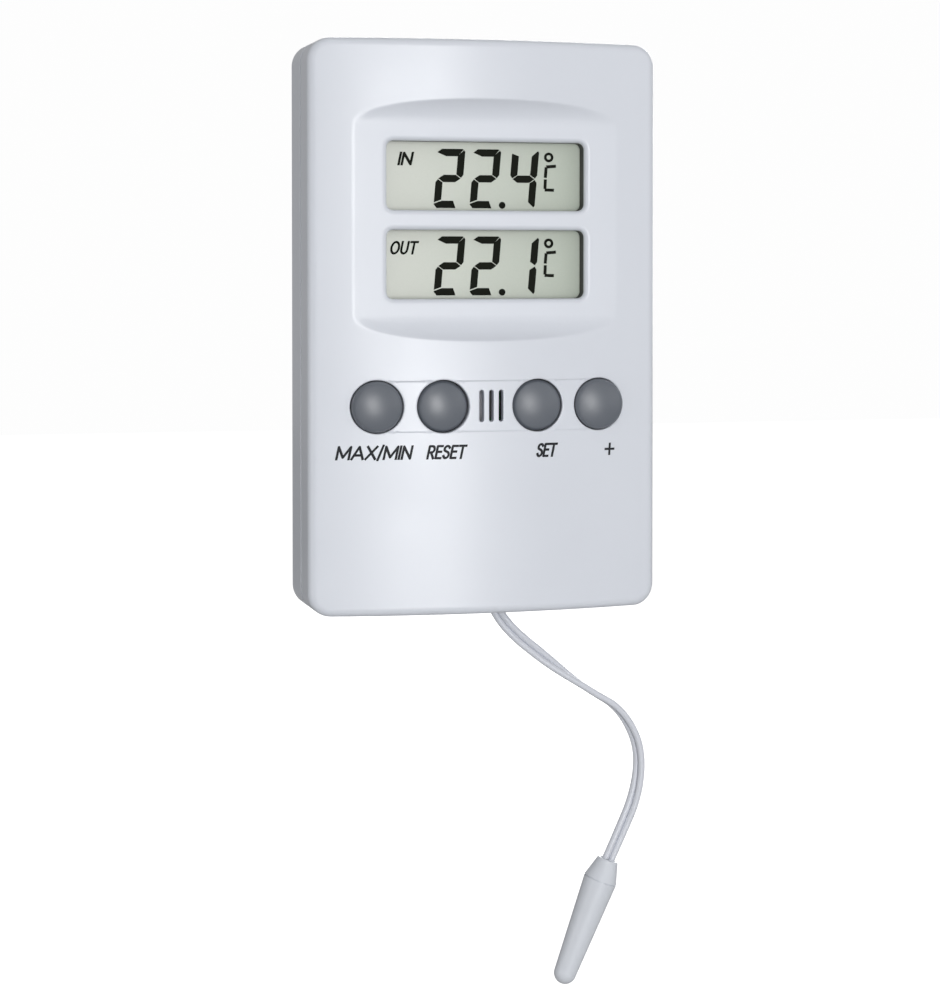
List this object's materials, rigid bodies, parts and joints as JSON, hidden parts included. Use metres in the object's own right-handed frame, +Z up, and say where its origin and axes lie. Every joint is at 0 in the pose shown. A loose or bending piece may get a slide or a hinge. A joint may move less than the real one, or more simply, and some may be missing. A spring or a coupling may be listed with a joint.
{
  "type": "maximum minimum thermometer",
  "caption": "Wall or desk thermometer with an inside and an outside reading, push buttons, fold-out stand and a lead to an outside probe.",
  "frame": {"origin": "centre of the keyhole's round hole, on the plane of the back", "axes": "+X to the right of the display, +Y back towards the wall, +Z up"},
  "size_m": [0.0712, 0.0222, 0.1877],
  "materials": {
    "case_plastic": "satin moulded ABS",
    "screw_steel": "zinc plated",
    "black_plastic": "fine matt",
    "polariser_film": "anti-glare film",
    "display_glass": "polished",
    "reflector_foil": "satin foil",
    "connector_rubber": "striped elastomer",
    "board_laminate": "solder resist",
    "black_resin": "cured resin",
    "tinned_steel": "tinned",
    "mat_rubber": "silicone",
    "carbon_rubber": "carbon filled",
    "cell_jacket": "printed film",
    "nickel_steel": "nickel plated",
    "wire_vinyl": "soft vinyl",
    "lead_vinyl": "soft vinyl",
    "probe_plastic": "moulded",
    "clear_resin": "potting resin",
    "button_plastic": "satin moulded"
  },
  "bodies": {
    "housing": {"front_case": "case_plastic", "rear_case": "case_plastic", "case_screws": "screw_steel", "display_frame": "black_plastic", "display_polariser": "polariser_film", "display_front_glass": "display_glass", "display_rear_glass": "display_glass", "display_reflector": "reflector_foil", "rubber_connector_strips": "connector_rubber", "circuit_board": "board_laminate", "board_screws": "screw_steel", "chip_cover": "black_resin", "crystal": "tinned_steel", "resistors_and_capacitors": "black_resin", "room_sensor": "black_resin", "sounder": "black_plastic", "rubber_mat_left": "mat_rubber", "rubber_mat_right": "mat_rubber", "battery_cell": "cell_jacket", "battery_spring": "nickel_steel", "battery_contact_minus": "nickel_steel", "battery_contact_plus": "nickel_steel", "battery_wires": "wire_vinyl", "sensor_wires": "wire_vinyl", "lead_clamp": "case_plastic", "sensor_cord": "lead_vinyl", "probe_cap": "probe_plastic", "probe_body": "probe_plastic", "probe_filling": "clear_resin", "probe_sensor": "black_resin"},
    "maxmin_key": {"maxmin_button": "button_plastic", "maxmin_contact_pill": "carbon_rubber"},
    "reset_key": {"reset_button": "button_plastic", "reset_contact_pill": "carbon_rubber"},
    "set_key": {"set_button": "button_plastic", "set_contact_pill": "carbon_rubber"},
    "plus_key": {"plus_button": "button_plastic", "plus_contact_pill": "carbon_rubber"},
    "battery_door_cover": {"battery_door": "case_plastic"},
    "stand_leg": {"stand": "case_plastic"}
  },
  "joints": [
    {"name": "maxmin_press", "type": "slide", "parent": "housing", "child": "maxmin_key", "axis": [0, 1, 0], "range_m": [0, 0.0008], "stiffness_N_per_m": 1000, "deforming": ["rubber_mat_left"]},
    {"name": "reset_press", "type": "slide", "parent": "housing", "child": "reset_key", "axis": [0, 1, 0], "range_m": [0, 0.0008], "stiffness_N_per_m": 1000, "deforming": ["rubber_mat_left"]},
    {"name": "set_press", "type": "slide", "parent": "housing", "child": "set_key", "axis": [0, 1, 0], "range_m": [0, 0.0008], "stiffness_N_per_m": 1000, "deforming": ["rubber_mat_right"]},
    {"name": "plus_press", "type": "slide", "parent": "housing", "child": "plus_key", "axis": [0, 1, 0], "range_m": [0, 0.0008], "stiffness_N_per_m": 1000, "deforming": ["rubber_mat_right"]},
    {"name": "stand_hinge", "type": "hinge", "parent": "housing", "child": "stand_leg", "pos_m": [0, -0.0018, -0.052], "axis": [1, 0, 0], "range_deg": [0, 45]},
    {"name": "battery_door_lift", "type": "slide", "parent": "housing", "child": "battery_door_cover", "axis": [0, 1, 0], "range_m": [0, 0.015]}
  ]
}
